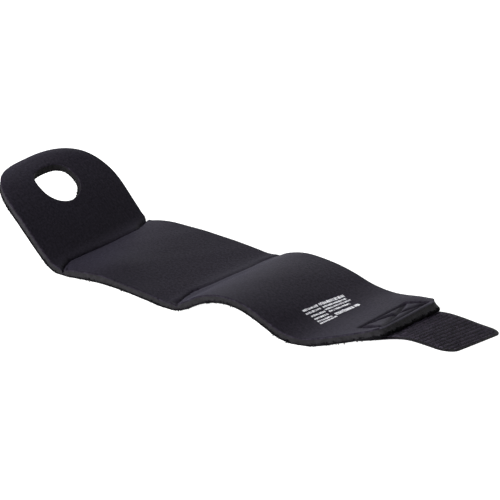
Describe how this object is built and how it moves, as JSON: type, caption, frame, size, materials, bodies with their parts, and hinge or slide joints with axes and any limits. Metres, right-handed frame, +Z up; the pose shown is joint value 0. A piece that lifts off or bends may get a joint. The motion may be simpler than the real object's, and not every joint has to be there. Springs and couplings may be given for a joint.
{
  "type": "wrist wrap",
  "caption": "Padded wrist wrap of thin foam rubber, with a thumb hole at its rounded end and a hook tab at its narrow end, lying open in soft waves.",
  "frame": {"origin": "middle of the bounding box at its base, on the surface that the wrap lies on", "axes": "+X along the wrap from the thumb hole to the hook tab, +Y to its far long edge, +Z up"},
  "size_m": [0.2818, 0.076, 0.0425],
  "materials": {
    "jersey": "smooth matt knit nylon, dark slate",
    "foam": "cut edge of closed-cell foam rubber, matt",
    "pile": "brushed loop pile, black",
    "hooks": "nylon hooks in fine rows, satin",
    "tape": "woven nylon tape, matt black"
  },
  "bodies": {
    "root": {"lining_jersey": "jersey", "foam_core": "foam", "loop_pile": "pile", "hook_field": "hooks", "hook_tab": "tape"}
  },
  "joints": []
}
